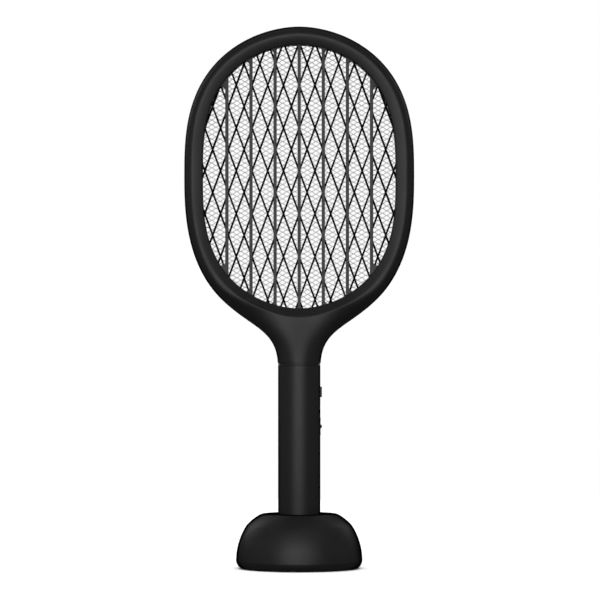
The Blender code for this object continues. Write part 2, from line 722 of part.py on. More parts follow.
def base_shell():
    flat_inner = 49.8
    turn_up = (BASE_CREASE - UNDERSIDE) / (1 - math.sin(TURN_ANGLE))
    turn = arc((BASE_RADIUS - TURN_INSET, UNDERSIDE + turn_up), (TURN_INSET / math.cos(TURN_ANGLE), turn_up),
               -TURN_ANGLE, -math.pi / 2, 4)
    outside = [(BASE_HOLE, BASE_TOP), *dome(0), *turn[1:]]
    inside = [(flat_inner, UNDERSIDE), (flat_inner, PLATE_TOP + GAP), *dome(BASE_WALL)[::-1],
              (BASE_HOLE, BASE_TOP - BASE_WALL)]
    housing = part("base_housing", turned(outside + inside, 36), "black_plastic", "base")
    bosses = diagonals(BASE_SCREW_RADIUS)
    columns = [((x, y, PLATE_TOP + GAP), (x, y, 43), 3.2) for x, y in bosses]
    boolean(housing, rods(*columns, segments=12), "UNION")
    boolean(housing, rods(*[((x, y, 0), (x, y, 14), 1.4) for x, y in bosses], segments=10))
    boolean(housing, boxes(((-5.4, 45, 6.9), (5.4, 60, 11.3))))

    groove_in, groove_out, groove_top = FOOT_RADII[0] - GAP, FOOT_RADII[1] + GAP, UNDERSIDE + 0.6
    edge = flat_inner - GAP
    floor = part("base_bottom_plate", turned([
        (0, PLATE_TOP), (edge, PLATE_TOP), (edge, UNDERSIDE), (groove_out, UNDERSIDE),
        (groove_out, groove_top), (groove_in, groove_top), (groove_in, UNDERSIDE), (0, UNDERSIDE),
    ], 36), "black_plastic", "base")
    posts = [((x, y, 2), (x, y, 9.2), 3.0) for x, y in ((29, 0), (-29, 0), (0, -29))]
    posts += [((x, y, 2), (x, y, CHARGER_BOARD[0] - GAP), 2.0) for x in (-8, 8) for y in (-9, 34)]
    boolean(floor, rods(*posts, segments=8), "UNION")
    boolean(floor, rods(*[((x, y, 0), (x, y, 2.5), 2.7) for x, y in bosses], segments=10))
    boolean(floor, rods(*[((x, y, 0), (x, y, 5), 1.4) for x, y in bosses], segments=8))
    for i, (x, y) in enumerate(bosses, 1):
        screw = part(f"base_screw_{i}", rods(((x, y, 1.0), (x, y, 2.2), 2.3), segments=10), "steel", "base")
        boolean(screw, rods(((x, y, 1.6), (x, y, 12), 1.05), segments=6), "UNION")
        middle = math.pi / 4 + math.pi / 2 * (i - 1)
        ends = (middle - FOOT_SPREAD, middle + FOOT_SPREAD)
        foot = arc((0, 0), FOOT_RADII[1], *ends, 10) + arc((0, 0), FOOT_RADII[0], *ends[::-1], 10)
        part(f"rubber_foot_{i}", plate([foot], 0, UNDERSIDE + GAP), "rubber", "base")


def docking_cup():
    floor, floor_top = CUP_FLOOR
    outer = CUP_BORE + CUP_WALL
    cup = part("docking_cup", turned([(0, floor_top), (CUP_BORE, floor_top), (CUP_BORE, CUP_TOP),
                                      (outer, CUP_TOP), (outer, floor), (0, floor)], 32),
               "inner_plastic", "base")
    boolean(cup, rods(*[((x, 0, 10), (x, 0, 20), 1.2) for x in (-PAD_SPACING, PAD_SPACING)], segments=12))
    part("ballast_weight", turned(ring_profile(23, 35, 9.5, 19.5), 32), "steel", "base")


def charger():
    bottom, top = CHARGER_BOARD
    part("charger_board", boxes(((-11, -12, bottom), (11, 50.5, top))), "board_green", "base")
    port_bottom, port_height = top + GAP, 3.2
    shell = boxes(((-4.5, 48.7, port_bottom), (4.5, 56.2, port_bottom + port_height)))
    port = part("usb_c_port", shell, "steel", "base")
    bevel(port, 1.2)
    middle = port_bottom + port_height / 2
    boolean(port, boxes(((-3.9, 50.2, middle - 1.2), (3.9, 60, middle + 1.2))))
    boolean(port, boxes(((-3.2, 49.5, middle - 0.35), (3.2, 55, middle + 0.35))), "UNION")
    for side, x in (("left", -PAD_SPACING), ("right", PAD_SPACING)):
        part(f"{side}_pin_barrel", turned([
            (0, 8.3), (1.35, 8.3), (1.35, 13), (2.2, 13), (2.2, top + GAP), (0, top + GAP),
        ], 16, (x, 0)), "contact", "base")
        spring = tube(coil_points(0.95, 8.6, 9.7, 3, Z, (x, 0, 0)), 0.13, 0)
        part(f"{side}_pin_spring", spring, "steel", "base")
        part(f"{side}_charge_pin", turned([
            (0, 16.3), (0.5, 16.2), (0.9, 15.7), (0.9, 12.4), (1.05, 12.4), (1.05, 10), (0, 10),
        ], 16, (x, 0)), "contact", f"{side}_charge_pin")


head()
grip_shell()
chassis()
electronics()
power_button()
mode_switch()
base_shell()
docking_cup()
charger()
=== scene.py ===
"""The looks of an electric fly swatter in its charging base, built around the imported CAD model.

Shapes are drawn in millimetres and become metres where a mesh is made. -Y is the front, +Z is up.
"""

import json
import math

import bmesh
import bpy
from mathutils import Matrix, Vector


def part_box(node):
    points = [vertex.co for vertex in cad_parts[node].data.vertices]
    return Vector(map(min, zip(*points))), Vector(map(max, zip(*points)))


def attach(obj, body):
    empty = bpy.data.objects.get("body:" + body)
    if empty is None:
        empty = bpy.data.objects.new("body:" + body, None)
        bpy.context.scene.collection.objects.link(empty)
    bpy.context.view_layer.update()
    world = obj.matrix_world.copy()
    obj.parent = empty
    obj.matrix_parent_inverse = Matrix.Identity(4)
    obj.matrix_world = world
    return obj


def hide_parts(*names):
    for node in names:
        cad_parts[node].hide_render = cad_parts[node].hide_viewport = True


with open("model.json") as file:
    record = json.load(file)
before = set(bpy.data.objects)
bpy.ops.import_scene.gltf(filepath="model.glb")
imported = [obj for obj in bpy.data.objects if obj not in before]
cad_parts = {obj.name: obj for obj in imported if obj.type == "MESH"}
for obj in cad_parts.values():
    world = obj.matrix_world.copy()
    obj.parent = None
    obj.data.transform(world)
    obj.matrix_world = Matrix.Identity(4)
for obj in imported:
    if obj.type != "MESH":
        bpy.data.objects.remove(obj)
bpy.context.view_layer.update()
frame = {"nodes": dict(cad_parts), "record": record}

MM = 0.001
MERGE = 1e-5


def box(node):
    """A CAD node's lowest and highest corners in millimetres."""
    return tuple(Vector(corner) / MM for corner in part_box(node))


# --- Driving dimensions ---------------------------------------------------------------------------

HEAD_MIDDLE = 353.0
OPENING = {"half_width": 86.8, "up": (117.7, 1.9, 2.95), "down": (119.0, 1.85, 2.95)}
RIM = {"half_width": 103.5, "up": (134.6, 1.88, 2.83), "down": (136.8, 2.23, 2.58)}
FLANK_TOP, FLANK_PULLS, NECK_FLARE = 242.0, (36.5, 30.5), 1.8
NECK_RADIUS = 19.35
NECK_BOTTOM = box("head_front_shell")[0].z
SHELL_WALL, SPLIT = 1.8, 0.15
LIP_HEIGHT, RIDGE_HEIGHT, RIDGE_OFFSET = 8.0, 13.0, 7.4
LIP_RISE = (2.7, 1.7)  # how much higher the opening's edge stands at the sides, and at the top
RIM_ROUNDING, THROAT_TOP = 8.8, 232.0
BARREL_TOP, BARREL_FULL = 256.0, 200.0  # heights between which the throat turns into a barrel
RIDGE_SOFTNESS = (0.3, 1.9)  # how far the ridge is rounded at the throat, and at the top of the head

RIB_PITCH, RIB_WIDTH, RIBS_EACH_SIDE = 21.7, 2.85, 3
RIB_FLARE = 3.2  # radius where a rib meets its hoop
HOOP_INNER, HOOP_OUTER = 0.6, 6.3
DIAMOND, DIAMOND_CROSSING = (7.08, 19.3), 357.7
NET_RADIUS, NET_DEPTH, NET_WEAVE = 0.82, 0.3, 0.1
CELL, STRAND, KNUCKLE = (7.5, 4.3), 0.32, 0.6  # the fine mesh's cell, strand radius and half joint
UNDER_LIP = 4.5  # the nets run this far past the opening's edge
NET_LINES, NET_REACH, WEAVE_STEPS = 34, 20, 4  # lines and crossings each side, points to a crossing
FOIL_HALF_CELLS, FOIL_HALF_HEIGHT = 26, 130

GRIP_RADIUS = box("handle_sleeve")[1].x
GRIP_BOTTOM, GRIP_TOP = box("handle_sleeve")[0].z, box("handle_sleeve")[1].z
GRIP_WALL = 2.0
BUTTON_HALF, KNOB_STEM, KNOB_HALF_DEPTH = (3.7, 4.7), 1.8, 1.3
SLIDE_SLOT = (1.6, 5.1)  # half width and half height of the slot that the knob slides in
OPENING_GAP, LENS_HOLE = 0.3, 1.8
CAP_BORE, CAP_PLUG = 14.5, 16.5

BASE_RADIUS, BASE_CURVE, BASE_CREASE = box("base_housing")[1].x, 57.8, 6.9
TURN_INSET, TURN_ANGLE = 4.2, math.radians(25)  # how the side turns under below its crease
BASE_TOP, BASE_WALL = box("base_housing")[1].z, 2.2
BASE_FLAT, SHOULDER, SHOULDER_PULLS, BASE_HOLE = 33.0, 38.0, (3.0, 4.5), 19.8
UNDERSIDE = box("base_housing")[0].z
SKIRT_INNER, SKIRT_TOP, PLATE_RADIUS, CUP_BORE = 49.8, 3.4, 49.5, 19.6
FOOT_GROOVE, FOOT, FOOT_SPREAD = (42.0, 47.6), (42.3, 47.3), math.radians(26)

# Each screw's head radius, head height and shaft radius.
SHELL_SCREW, CAP_SCREW, BASE_SCREW = (2.0, 1.8, 1.0), (2.2, 1.2, 1.0), (2.3, 1.2, 1.05)


def middle(node):
    low, high = box(node)
    return (low + high) / 2


# --- Mesh makers ----------------------------------------------------------------------------------


def mesh_from(bm):
    mesh = bpy.data.meshes.new("mesh")
    bm.to_mesh(mesh)
    bm.free()
    return mesh


def boxes(*corners):
    bm = bmesh.new()
    for low, high in corners:
        low, high = Vector(low), Vector(high)
        made = bmesh.ops.create_cube(bm, size=1)["verts"]
        bmesh.ops.scale(bm, vec=high - low, verts=made)
        bmesh.ops.translate(bm, vec=(low + high) / 2, verts=made)
    return mesh_from(bm)


def block(xs, half_y, z, half_z):
    """A box between two values of x, centred on y = 0 and on z."""
    return boxes(((xs[0], -half_y, z - half_z), (xs[1], half_y, z + half_z)))


def rods(*ends, segments=48):
    """Cylinders, each given as its two ends and its radius."""
    bm = bmesh.new()
    for start, end, radius in ends:
        start, end = Vector(start), Vector(end)
        turn = (end - start).to_track_quat("Z", "Y").to_matrix().to_4x4()
        bmesh.ops.create_cone(
            bm, cap_ends=True, segments=segments, radius1=radius, radius2=radius,
            depth=(end - start).length, matrix=Matrix.Translation((start + end) / 2) @ turn,
        )
    return mesh_from(bm)


def upright_rods(centres, bottom, top, radius, segments=48):
    """A vertical cylinder at each centre, used as a drill."""
    return rods(*[((p.x, p.y, bottom), (p.x, p.y, top), radius) for p in centres], segments=segments)


def arc(centre, radius, start, end, steps):
    across, up = radius if isinstance(radius, tuple) else (radius, radius)
    angles = [start + (end - start) * i / steps for i in range(steps + 1)]
    return [Vector((centre[0] + across * math.cos(a), centre[1] + up * math.sin(a))) for a in angles]


def bezier(points, steps):
    a, b, c, d = (Vector(p) for p in points)
    return [
        (1 - t) ** 3 * a + 3 * (1 - t) ** 2 * t * b + 3 * (1 - t) * t * t * c + t**3 * d
        for t in (i / steps for i in range(steps + 1))
    ]


def rounded(points, radius, closed, steps=4):
    """The same line with every corner of more than 20 degrees rounded."""
    points = [Vector(p) for p in points]
    count, line = len(points), []
    for i, corner in enumerate(points):
        if not closed and i in (0, count - 1):
            line.append(corner)
            continue
        before, after = points[i - 1] - corner, points[(i + 1) % count] - corner
        turn = math.pi - before.angle(after)
        if turn < math.radians(20):
            line.append(corner)
            continue
        reach = min(radius * math.tan(turn / 2), before.length * 0.45, after.length * 0.45)
        a, b = corner + before.normalized() * reach, corner + after.normalized() * reach
        for k in range(steps + 1):
            t = k / steps
            line.append((1 - t) ** 2 * a + 2 * (1 - t) * t * corner + t * t * b)
    return line


def turned(points, segments=128, centre=(0, 0), soften=0.3):
    """A profile spun about a vertical axis. One that starts on the axis is a solid disc."""
    solid = points[0][0] == 0
    line = rounded(points, soften, closed=not solid)
    bm = bmesh.new()
    rings = []
    for point in line:
        if point[0] < 1e-6:
            rings.append([bm.verts.new((centre[0], centre[1], point[1]))])
            continue
        ring = []
        for i in range(segments):
            angle = 2 * math.pi * i / segments
            x, y = centre[0] + point[0] * math.cos(angle), centre[1] + point[0] * math.sin(angle)
            ring.append(bm.verts.new((x, y, point[1])))
        rings.append(ring)
    pairs = list(zip(rings, rings[1:]))
    if not solid:
        pairs.append((rings[-1], rings[0]))
    for upper, lower in pairs:
        for i in range(segments):
            j = (i + 1) % segments
            corners = [upper[i % len(upper)], lower[i % len(lower)], lower[j % len(lower)],
                       upper[j % len(upper)]]
            bm.faces.new(dict.fromkeys(corners))
    bmesh.ops.recalc_face_normals(bm, faces=bm.faces)
    return mesh_from(bm)


def ring_profile(inner, outer, bottom, top):
    return [(outer, top), (outer, bottom), (inner, bottom), (inner, top)]


def evaluated_mesh(obj, weld=1e-4):
    """The mesh that an object's modifiers or curve settings make; the object is removed."""
    if obj.name not in bpy.context.scene.collection.objects:
        bpy.context.scene.collection.objects.link(obj)
    bpy.context.view_layer.update()
    graph = bpy.context.evaluated_depsgraph_get()
    mesh = bpy.data.meshes.new_from_object(obj.evaluated_get(graph))
    mesh.transform(obj.matrix_world)
    bpy.data.objects.remove(obj)
    bm = bmesh.new()
    bm.from_mesh(mesh)
    bmesh.ops.remove_doubles(bm, verts=bm.verts, dist=weld)
    bm.to_mesh(mesh)
    bm.free()
    return mesh


def plate(loops, low, high, along_y=False, soften=0.0):
    """Flat loops, the first with the others as holes, given a thickness and rounded edges."""
    curve = bpy.data.curves.new("plate", "CURVE")
    curve.dimensions = "2D"
    curve.fill_mode = "BOTH"
    curve.extrude = (high - low) / 2 - soften
    curve.bevel_depth = soften
    curve.bevel_resolution = 1
    curve.offset = -soften
    for loop in loops:
        spline = curve.splines.new("POLY")
        spline.points.add(len(loop) - 1)
        for point, (u, v) in zip(spline.points, loop):
            point.co = (u, v, 0, 1)
        spline.use_cyclic_u = True
    obj = bpy.data.objects.new("plate", curve)
    if along_y:
        obj.rotation_euler.x = math.pi / 2
    obj.location = Vector((0, 1, 0) if along_y else (0, 0, 1)) * (low + high) / 2
    return evaluated_mesh(obj)


def wires(paths, radius, sides):
    """Round wires through the points of each path."""
    curve = bpy.data.curves.new("wires", "CURVE")
    curve.dimensions = "3D"
    curve.bevel_depth = radius
    curve.bevel_resolution = sides
    curve.use_fill_caps = True
    for path in paths:
        spline = curve.splines.new("POLY")
        spline.points.add(len(path) - 1)
        for point, place in zip(spline.points, path):
            point.co = (*place, 1)
    return evaluated_mesh(bpy.data.objects.new("wires", curve), weld=1e-5)


def cut(mesh, *tools, operation="DIFFERENCE"):
    """The mesh after a Boolean with each tool mesh in turn."""
    obj = bpy.data.objects.new("cut", mesh)
    helpers = []
    for tool in tools:
        helper = bpy.data.objects.new("tool", tool)
        bpy.context.scene.collection.objects.link(helper)
        modifier = obj.modifiers.new("cut", "BOOLEAN")
        modifier.operation = operation
        modifier.object = helper
        helpers.append(helper)
    made = evaluated_mesh(obj)
    for helper in helpers:
        bpy.data.objects.remove(helper)
    return made


def softened(mesh, width, segments=2, angle=35):
    """The mesh with its sharp edges rounded."""
    obj = bpy.data.objects.new("softened", mesh)
    modifier = obj.modifiers.new("bevel", "BEVEL")
    modifier.width = width
    modifier.segments = segments
    modifier.limit_method = "ANGLE"
    modifier.angle_limit = math.radians(angle)
    modifier.harden_normals = False
    return evaluated_mesh(obj, weld=1e-5)


# --- Materials ------------------------------------------------------------------------------------


def new_material(name, roughness=0.5, metallic=0.0, specular=0.5, coat=0.0):
    material = bpy.data.materials.new(name)
    material.use_nodes = True
    tree = material.node_tree
    shader = tree.nodes["Principled BSDF"]
    shader.inputs["Roughness"].default_value = roughness
    shader.inputs["Metallic"].default_value = metallic
    shader.inputs["Specular IOR Level"].default_value = specular
    shader.inputs["Coat Weight"].default_value = coat
    return material, tree, shader


def texture(tree, kind, scale, **settings):
    """A procedural texture in the object's own coordinates; scale is in features per metre."""
    place = tree.nodes.get("place") or tree.nodes.new("ShaderNodeTexCoord")
    place.name = "place"
    node = tree.nodes.new(kind)
    node.inputs["Scale"].default_value = scale
    for socket, value in settings.items():
        node.inputs[socket].default_value = value
    tree.links.new(place.outputs["Object"], node.inputs["Vector"])
    return node


def tint(tree, shader, source, dark, light, low=0.3, high=0.7):
    """The base colour, running between two colours with a texture."""
    ramp = tree.nodes.new("ShaderNodeValToRGB")
    ramp.color_ramp.elements[0].position = low
    ramp.color_ramp.elements[1].position = high
    ramp.color_ramp.elements[0].color = (*dark, 1)
    ramp.color_ramp.elements[1].color = (*light, 1)
    tree.links.new(source, ramp.inputs["Fac"])
    tree.links.new(ramp.outputs["Color"], shader.inputs["Base Color"])


def vary_roughness(tree, shader, source, low, high):
    spread = tree.nodes.new("ShaderNodeMapRange")
    spread.inputs["To Min"].default_value = low
    spread.inputs["To Max"].default_value = high
    tree.links.new(source, spread.inputs["Value"])
    tree.links.new(spread.outputs["Result"], shader.inputs["Roughness"])


def add_bump(tree, shader, source, strength, depth):
    """Fine relief; depth is in millimetres."""
    bump = tree.nodes.new("ShaderNodeBump")
    bump.inputs["Strength"].default_value = strength
    bump.inputs["Distance"].default_value = depth * MM
    tree.links.new(source, bump.inputs["Height"])
    if shader.inputs["Normal"].is_linked:
        tree.links.new(shader.inputs["Normal"].links[0].from_socket, bump.inputs["Normal"])
    tree.links.new(bump.outputs["Normal"], shader.inputs["Normal"])


def paint_edge_shade(tree, shader, start, end):
    """Paints shade: mixes matt black into a surface where it turns away from view, a painted dark edge
    that stands in for dark surroundings reflected there.
    """
    turned_away = tree.nodes.new("ShaderNodeLayerWeight")
    turned_away.inputs["Blend"].default_value = 0.5
    ramp = tree.nodes.new("ShaderNodeMapRange")
    ramp.inputs["From Min"].default_value = start
    ramp.inputs["From Max"].default_value = end
    edge = tree.nodes.new("ShaderNodeBsdfDiffuse")
    edge.inputs["Color"].default_value = (0.001, 0.001, 0.001, 1)
    mix = tree.nodes.new("ShaderNodeMixShader")
    tree.links.new(turned_away.outputs["Facing"], ramp.inputs["Value"])
    tree.links.new(ramp.outputs["Result"], mix.inputs["Fac"])
    tree.links.new(shader.outputs["BSDF"], mix.inputs[1])
    tree.links.new(edge.outputs["BSDF"], mix.inputs[2])
    tree.links.new(mix.outputs["Shader"], tree.nodes["Material Output"].inputs["Surface"])


def moulded_plastic(name, dark, light, roughness=(0.42, 0.56), edges=(0.5, 0.72)):
    """Moulded plastic: a fine matt grain, with faint broad variation in tone and gloss, and painted
    shade where it turns away from view; edges sets where that shade ramps in.
    """
    material, tree, shader = new_material(name)
    # Painted shade: matt black mixed in at edges that turn away from view.
    paint_edge_shade(tree, shader, *edges)
    broad = texture(tree, "ShaderNodeTexNoise", 55, Detail=4.0, Roughness=0.55)
    fine = texture(tree, "ShaderNodeTexNoise", 2600, Detail=3.0, Roughness=0.6)
    pits = texture(tree, "ShaderNodeTexVoronoi", 1500)
    tint(tree, shader, broad.outputs["Fac"], dark, light)
    vary_roughness(tree, shader, broad.outputs["Fac"], *roughness)
    add_bump(tree, shader, fine.outputs["Fac"], 0.35, 0.05)
    add_bump(tree, shader, pits.outputs["Distance"], 0.2, 0.05)
    return material


def drawn_metal(name, dark, light, roughness=(0.25, 0.45), scale=400):
    material, tree, shader = new_material(name, metallic=1.0)
    streaks = texture(tree, "ShaderNodeTexNoise", scale, Detail=4.0, Roughness=0.6)
    tint(tree, shader, streaks.outputs["Fac"], dark, light)
    vary_roughness(tree, shader, streaks.outputs["Fac"], *roughness)
    add_bump(tree, shader, streaks.outputs["Fac"], 0.2, 0.02)
    return material


def coated_wire(name):
    """Steel wire with a thin black paint, a little uneven along its length."""
    material, tree, shader = new_material(name, specular=0.06)
    lumps = texture(tree, "ShaderNodeTexNoise", 900, Detail=3.0)
    tint(tree, shader, lumps.outputs["Fac"], (0.002, 0.002, 0.002), (0.005, 0.005, 0.005))
    vary_roughness(tree, shader, lumps.outputs["Fac"], 0.5, 0.75)
    add_bump(tree, shader, lumps.outputs["Fac"], 0.3, 0.05)
    return material


def expanded_foil(name):
    """The bright aluminium of the fine mesh, dulled by handling."""
    material, tree, shader = new_material(name, metallic=0.55)
    dull = texture(tree, "ShaderNodeTexNoise", 300, Detail=4.0)
    tint(tree, shader, dull.outputs["Fac"], (0.60, 0.60, 0.59), (0.80, 0.80, 0.79))
    vary_roughness(tree, shader, dull.outputs["Fac"], 0.35, 0.6)
    add_bump(tree, shader, dull.outputs["Fac"], 0.2, 0.02)
    return material


def rubber(name):
    material, tree, shader = new_material(name, specular=0.3)
    speckle = texture(tree, "ShaderNodeTexNoise", 1800, Detail=4.0)
    tint(tree, shader, speckle.outputs["Fac"], (0.010, 0.010, 0.010), (0.022, 0.022, 0.022))
    vary_roughness(tree, shader, speckle.outputs["Fac"], 0.7, 0.95)
    add_bump(tree, shader, speckle.outputs["Fac"], 0.4, 0.06)
    return material


def circuit_board(name):
    """Green lacquer over the weave of the laminate."""
    material, tree, shader = new_material(name, coat=0.3)
    weave = texture(tree, "ShaderNodeTexWave", 700, Distortion=0.4)
    tone = texture(tree, "ShaderNodeTexNoise", 250, Detail=3.0)
    tint(tree, shader, tone.outputs["Fac"], (0.010, 0.085, 0.035), (0.018, 0.14, 0.055))
    vary_roughness(tree, shader, tone.outputs["Fac"], 0.3, 0.45)
    add_bump(tree, shader, weave.outputs["Fac"], 0.2, 0.02)
    return material


def shrink_wrap(name):
    material, tree, shader = new_material(name, coat=0.4)
    ripple = texture(tree, "ShaderNodeTexNoise", 220, Detail=3.0)
    tint(tree, shader, ripple.outputs["Fac"], (0.035, 0.13, 0.25), (0.06, 0.20, 0.36))
    vary_roughness(tree, shader, ripple.outputs["Fac"], 0.25, 0.4)
    add_bump(tree, shader, ripple.outputs["Fac"], 0.3, 0.1)
    return material


def smoked_lens(name):
    """A light guide of clear plastic, dark while it is off."""
    material, tree, shader = new_material(name, roughness=0.15, coat=0.5)
    haze = texture(tree, "ShaderNodeTexNoise", 500, Detail=2.0)
    tint(tree, shader, haze.outputs["Fac"], (0.10, 0.11, 0.115), (0.16, 0.17, 0.18))
    vary_roughness(tree, shader, haze.outputs["Fac"], 0.08, 0.2)
    add_bump(tree, shader, haze.outputs["Fac"], 0.1, 0.02)
    return material


def pale_floor(name):
    material, tree, shader = new_material(name, roughness=0.9, specular=0.1)
    grain = texture(tree, "ShaderNodeTexNoise", 40, Detail=3.0)
    tint(tree, shader, grain.outputs["Fac"], (0.90, 0.90, 0.90), (0.93, 0.93, 0.93))
    vary_roughness(tree, shader, grain.outputs["Fac"], 0.8, 0.95)
    add_bump(tree, shader, grain.outputs["Fac"], 0.05, 0.05)
    return material


BLACK_TONES = (0.005, 0.005, 0.0052), (0.007, 0.007, 0.0072)
LOOKS = {
    "black_plastic": moulded_plastic("black_plastic", *BLACK_TONES),
    # The same black plastic with less painted edge shade: its ramp to black is spread over a wider
    # range of facing.
    "base_plastic_soft_edge_shade": moulded_plastic("base_plastic_soft_edge_shade", *BLACK_TONES, edges=(0.5, 0.79)),
    "rib_plastic": moulded_plastic("rib_plastic", (0.03, 0.03, 0.031), (0.04, 0.04, 0.041),
                                   roughness=(0.5, 0.62)),
    "net_black": coated_wire("net_black"),
    "mesh_silver": expanded_foil("mesh_silver"),
    "steel": drawn_metal("steel", (0.34, 0.34, 0.33), (0.52, 0.52, 0.51)),
    "contact": drawn_metal("contact", (0.72, 0.50, 0.18), (0.90, 0.66, 0.30), (0.18, 0.35)),
    "rubber": rubber("rubber"),
    "board_green": circuit_board("board_green"),
    "inner_plastic": moulded_plastic("inner_plastic", (0.009, 0.009, 0.01), (0.012, 0.012, 0.013)),
    "cell_wrap": shrink_wrap("cell_wrap"),
    "lens_clear": smoked_lens("lens_clear"),
}


def body_of_node(node):
    for body, nodes in frame["record"]["behaviour"]["bodies"].items():
        if node in nodes:
            return body
    raise KeyError(node)


def piece(name, mesh, look, nodes, smooth=30):
    """A finished piece that rides on its CAD node's body and stands for those nodes."""
    nodes = [nodes] if isinstance(nodes, str) else nodes
    mesh.name = name
    mesh.transform(Matrix.Scale(MM, 4))
    mesh.materials.clear()
    mesh.materials.append(LOOKS[look])
    for polygon in mesh.polygons:
        polygon.material_index = 0
    mesh.shade_smooth()
    mesh.set_sharp_from_angle(angle=math.radians(smooth))
    obj = bpy.data.objects.new(name, mesh)
    bpy.context.scene.collection.objects.link(obj)
    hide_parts(*nodes)
    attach(obj, body_of_node(nodes[0]))
    return obj


# --- Outlines of the head -------------------------------------------------------------------------


def egg_point(egg, angle, offset=0.0):
    """A point offset mm outside an egg outline; angle runs from 0 at +X up to pi/2 at the top."""
    height, p, q = egg["up"] if math.sin(angle) >= 0 else egg["down"]
    cosine, sine = abs(math.cos(angle)), abs(math.sin(angle))
    across, up = cosine ** (2 / p), sine ** (2 / q)
    point = Vector((egg["half_width"] * across, height * up))
    normal = Vector((p / egg["half_width"] * across ** (p - 1), q / height * up ** (q - 1)))
    point += offset * normal.normalized()
    return Vector((
        math.copysign(point.x, math.cos(angle)),
        HEAD_MIDDLE + math.copysign(point.y, math.sin(angle)),
    ))


def egg_loop(egg, offset, steps=160):
    return [egg_point(egg, 2 * math.pi * i / steps + 1e-9, offset) for i in range(steps)]


def rim_angle(z):
    height, _, q = RIM["down"]
    return -math.asin(((HEAD_MIDDLE - z) / height) ** (q / 2))


FLANK_ANGLE = rim_angle(FLANK_TOP)
NECK_CORNER = Vector((NECK_RADIUS, NECK_BOTTOM))


def flank(steps):
    start = egg_point(RIM, FLANK_ANGLE)
    run = (egg_point(RIM, FLANK_ANGLE - 0.001) - start).normalized()
    down, up = FLANK_PULLS
    pull = NECK_CORNER + Vector((NECK_FLARE, up))
    return bezier((start, start + down * run, pull, NECK_CORNER), steps)


def corner_angle():
    _, p, _ = OPENING["down"]
    return -math.acos((NECK_RADIUS / OPENING["half_width"]) ** (p / 2))


def head_stations(round_steps, side_steps, flank_steps, neck_steps):
    """Angles on the opening, each with the rim point that its line across the shell reaches."""
    sweep = flank(flank_steps)
    legs = (
        (math.pi / 2, 0, round_steps, lambda angle, _: egg_point(RIM, angle)),
        (0, FLANK_ANGLE, side_steps, lambda angle, _: egg_point(RIM, angle)),
        (FLANK_ANGLE, corner_angle(), flank_steps, lambda _, i: sweep[i]),
        (corner_angle(), -math.pi / 2, neck_steps,
         lambda _, i: Vector((NECK_RADIUS * math.cos(math.pi / 2 * i / neck_steps), NECK_BOTTOM))),
    )
    stations = []
    for start, end, steps, outer in legs:
        for i in range(1 if stations else 0, steps + 1):
            angle = start + (end - start) * i / steps
            stations.append((angle, outer(angle, i)))
    return stations


def distance_to(point, line):
    best = math.inf
    for a, b in zip(line, line[1:]):
        run = b - a
        along = max(0.0, min(1.0, (point - a).dot(run) / run.length_squared))
        best = min(best, (point - a - along * run).length)
    return best


RIM_LINE = [egg_point(RIM, math.pi / 2 + (FLANK_ANGLE - math.pi / 2) * i / 120) for i in range(121)]
RIM_LINE += flank(60)[1:]
OPENING_LINE = [egg_point(OPENING, math.pi / 2 - math.pi * i / 120) for i in range(121)]


def soft_minimum(a, b, softness):
    overlap = max(softness - abs(a - b), 0) / softness
    return min(a, b) - overlap * overlap * softness / 4


def ease(share):
    share = max(0.0, min(1.0, share))
    return share * share * (3 - 2 * share)


def shell_height(point, offset, angle):
    """How far the shell's outside stands from the middle plane, offset mm outside the opening."""
    sink = ease((THROAT_TOP - point.y) / (THROAT_TOP - NECK_BOTTOM))
    depth = RIDGE_HEIGHT + (NECK_RADIUS - RIDGE_HEIGHT) * sink
    barrel = ease((BARREL_TOP - point.y) / (BARREL_TOP - BARREL_FULL))
    half_barrel = distance_to(Vector((0, min(point.y, THROAT_TOP))), RIM_LINE)
    rounding = RIM_ROUNDING + (half_barrel - RIM_ROUNDING) * barrel
    share = min(1.0, distance_to(point, RIM_LINE) / rounding)
    outer = depth * math.sqrt(1 - (1 - share) ** 2)
    at_sides, at_top = LIP_RISE
    lip = LIP_HEIGHT + at_sides * math.cos(angle) ** 2 + at_top * max(0.0, math.sin(angle)) ** 2
    inner = lip + (RIDGE_HEIGHT - lip) * offset / RIDGE_OFFSET
    crisp, soft = RIDGE_SOFTNESS
    rise = max(0.0, min(1.0, (point.y - THROAT_TOP) / (HEAD_MIDDLE - THROAT_TOP)))
    return soft_minimum(outer, inner, crisp + (soft - crisp) * rise)


# --- Racket head ----------------------------------------------------------------------------------

STATIONS = (44, 22, 22, 10)  # steps round the top, down the side, along the flank and across the neck
SKIRT = 3.0  # how far the skin runs past the middle plane, before it is cut there
LIP_ROUNDING = 0.75
# Lines across the shell: offsets up the inner slope, then shares of the way from the rim to the ridge.
SLOPE = (0.0, 0.06, 0.2, 0.42, 0.75, 1.4, 2.6, 4.0, 5.4, 6.4, 6.9)
ACROSS = (1, 0.992, 0.978, *(1 - i / 18 for i in range(1, 19)))
HEAD_BLOCK = {"half_width": 150, "bottom": 150, "top": 520, "depth": 40}  # it covers half the head
SCREW_POCKET = (7.5, 20, 2.3)  # from, to and radius


